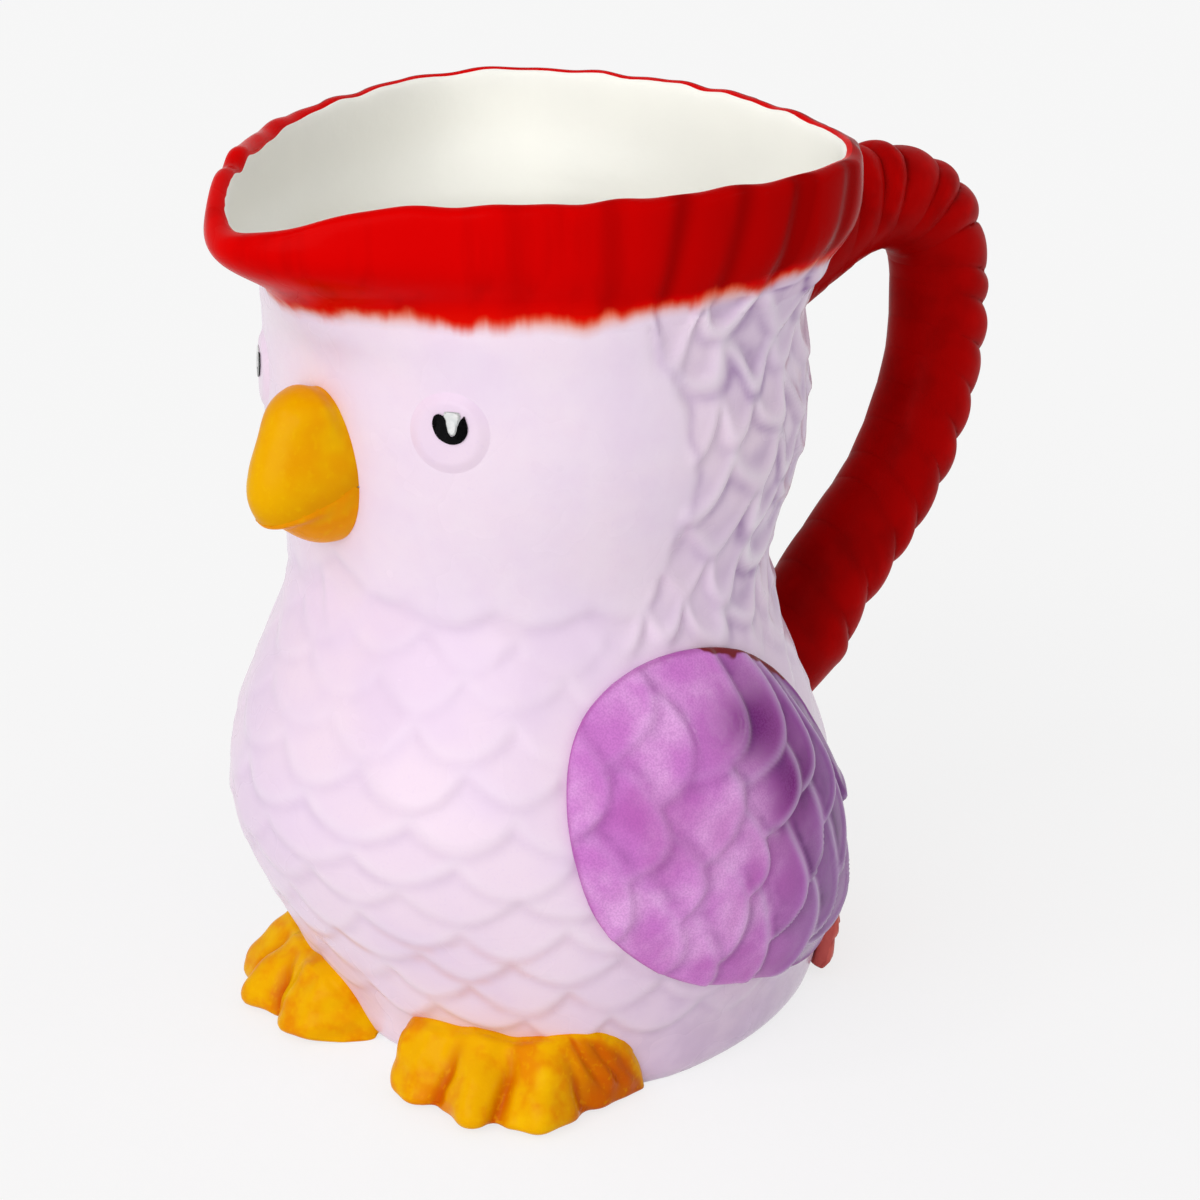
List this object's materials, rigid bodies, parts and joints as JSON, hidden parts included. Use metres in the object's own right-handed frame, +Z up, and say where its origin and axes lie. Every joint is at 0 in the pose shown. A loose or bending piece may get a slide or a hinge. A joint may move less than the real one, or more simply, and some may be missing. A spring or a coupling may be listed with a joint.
{
  "type": "bird-shaped pitcher",
  "caption": "Ceramic pitcher in the form of a standing bird, with a flared crest as rim and pouring lip, and a ribbed handle at the back for lifting and pouring.",
  "frame": {"origin": "on the table, under the body's upright axis, in the flat base", "axes": "+Z up, -Y the way the bird faces and pours, +Y the handle, +X the bird's left side"},
  "size_m": [0.1332, 0.212, 0.1926],
  "materials": {
    "lilac_glaze": "gloss glaze",
    "red_glaze": "gloss glaze",
    "orange_glaze": "satin glaze",
    "purple_glaze": "gloss glaze",
    "white_enamel": "gloss enamel",
    "black_enamel": "gloss enamel"
  },
  "bodies": {
    "root": {"body_shell": "lilac_glaze", "crest_rim": "red_glaze", "handle": "red_glaze", "beak_upper": "orange_glaze", "beak_lower": "orange_glaze", "eye_mound_left": "lilac_glaze", "eye_mound_right": "lilac_glaze", "eye_white_left": "white_enamel", "eye_white_right": "white_enamel", "pupil_left": "black_enamel", "pupil_right": "black_enamel", "wing_left": "purple_glaze", "wing_right": "purple_glaze", "foot_left": "orange_glaze", "foot_right": "orange_glaze", "tail": "red_glaze"}
  },
  "joints": []
}
